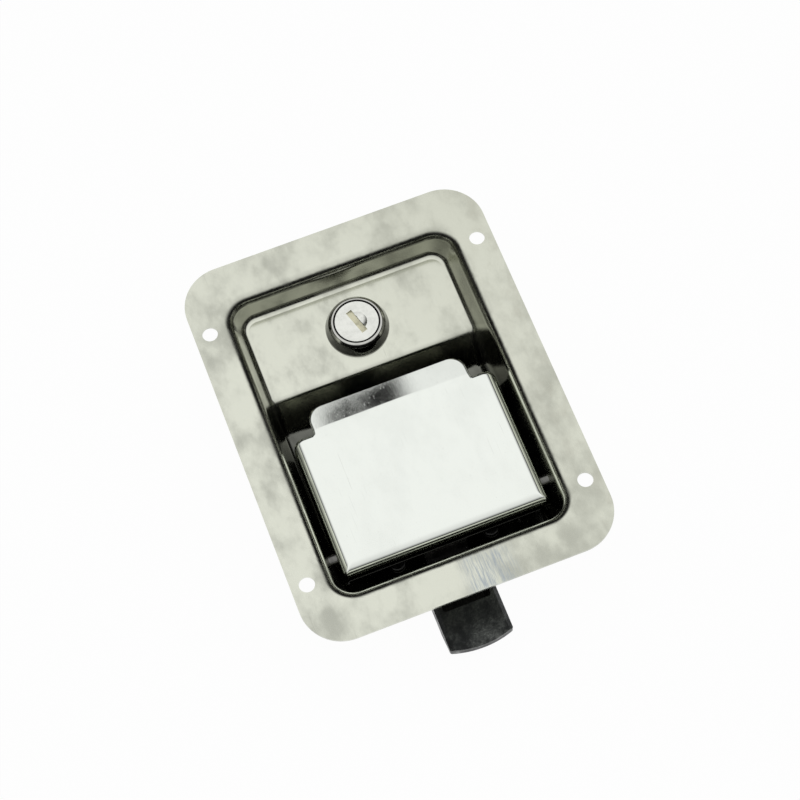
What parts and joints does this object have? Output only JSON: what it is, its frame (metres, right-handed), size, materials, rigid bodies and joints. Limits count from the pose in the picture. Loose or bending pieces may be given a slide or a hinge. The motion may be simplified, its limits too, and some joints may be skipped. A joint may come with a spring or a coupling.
{
  "type": "paddle latch",
  "caption": "Flush paddle latch: a drawn steel pan with a hinged pull paddle, a spring bolt behind it and a keyed cam lock.",
  "frame": {"origin": "centre of the mounting flange, on its back face, which lies against the panel", "axes": "+Z out of the panel towards the user, +Y from the bolt's end to the lock's end, +X to the user's right"},
  "size_m": [0.108, 0.15, 0.0363],
  "materials": {
    "pan_steel": "brushed",
    "paddle_steel": "polished",
    "plated_steel": "satin",
    "pin_steel": "satin",
    "clip_steel": "satin",
    "spring_steel": "satin",
    "bolt_metal": "satin",
    "rivet_steel": "satin",
    "lock_chrome": "polished",
    "nut_steel": "satin",
    "plug_metal": "satin",
    "shutter_brass": "satin",
    "cam_steel": "satin",
    "screw_steel": "satin",
    "wafer_brass": "satin"
  },
  "bodies": {
    "housing": {"pan": "pan_steel", "hinge_pin": "pin_steel", "hinge_pin_clip": "clip_steel", "bolt_housing": "plated_steel", "housing_rivets": "rivet_steel", "bolt_spring": "spring_steel", "paddle_spring": "spring_steel", "lock_body": "lock_chrome", "lock_washer": "plated_steel", "lock_nut": "nut_steel"},
    "paddle": {"paddle": "paddle_steel", "paddle_lever": "plated_steel"},
    "bolt": {"bolt": "bolt_metal"},
    "plug": {"lock_plug": "plug_metal", "wafer_1": "wafer_brass", "wafer_2": "wafer_brass", "wafer_3": "wafer_brass", "wafer_4": "wafer_brass", "wafer_5": "wafer_brass", "shutter_pin": "pin_steel", "shutter_spring": "spring_steel", "stop_washer": "plated_steel", "lock_cam": "cam_steel", "cam_spring_washer": "spring_steel", "cam_screw": "screw_steel"},
    "shutter": {"keyway_shutter": "shutter_brass"}
  },
  "joints": [
    {"name": "paddle_hinge", "type": "hinge", "parent": "housing", "child": "paddle", "pos_m": [0, -0.04, -0.00786], "axis": [1, 0, 0], "range_deg": [0, 35], "deforming": ["paddle_spring"]},
    {"name": "bolt_slide", "type": "slide", "parent": "housing", "child": "bolt", "axis": [0, 1, 0], "range_m": [0, 0.01263], "stiffness_N_per_m": 500, "springref_m": -0.0105, "deforming": ["bolt_spring"]},
    {"name": "plug_turn", "type": "hinge", "parent": "housing", "child": "plug", "pos_m": [0, 0.0368, -0.015], "axis": [0, 0, 1], "range_deg": [0, 90]},
    {"name": "shutter_flip", "type": "hinge", "parent": "plug", "child": "shutter", "pos_m": [-0.00139, 0.03638, -0.00757], "axis": [-0.2924, 0.9563, 0], "range_deg": [0, 80], "stiffness_Nm_per_rad": 0.0004, "springref_deg": -34.38, "deforming": ["shutter_spring"]}
  ],
  "couplings": [
    {"joint": "paddle_hinge", "follows": "bolt_slide", "rad_per_m": 48.368}
  ]
}
